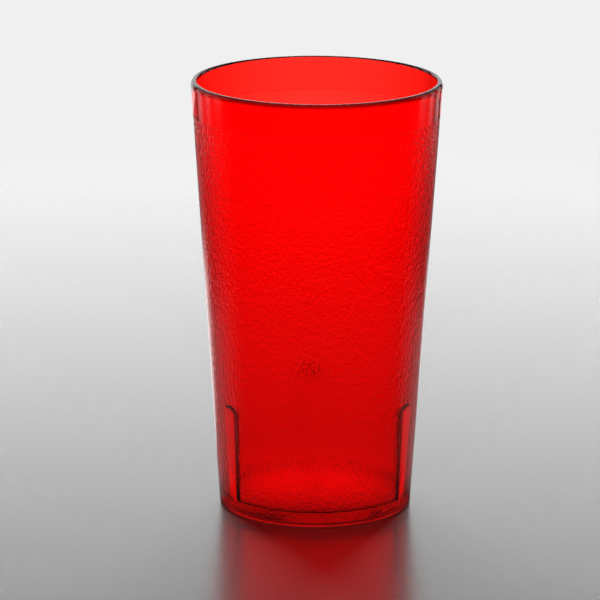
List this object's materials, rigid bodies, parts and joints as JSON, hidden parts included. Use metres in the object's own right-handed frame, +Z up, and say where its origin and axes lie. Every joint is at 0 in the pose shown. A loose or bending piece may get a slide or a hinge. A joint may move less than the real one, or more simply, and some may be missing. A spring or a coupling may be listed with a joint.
{
  "type": "plastic tumbler",
  "caption": "Tapered see-through plastic drinking tumbler with a pebbled outside, a smooth band under a rounded lip, and stacking lugs inside.",
  "frame": {"origin": "centre of the foot ring, on the surface the tumbler stands on", "axes": "+Z up along the tumbler's axis towards the mouth, +Y through the middle of one stacking lug"},
  "size_m": [0.0888, 0.0888, 0.1539],
  "materials": {
    "ruby_plastic": "clear ruby red styrene plastic, glossy inside and on the band, moulded pebble grain outside"
  },
  "bodies": {
    "root": {"tumbler": "ruby_plastic"}
  },
  "joints": []
}
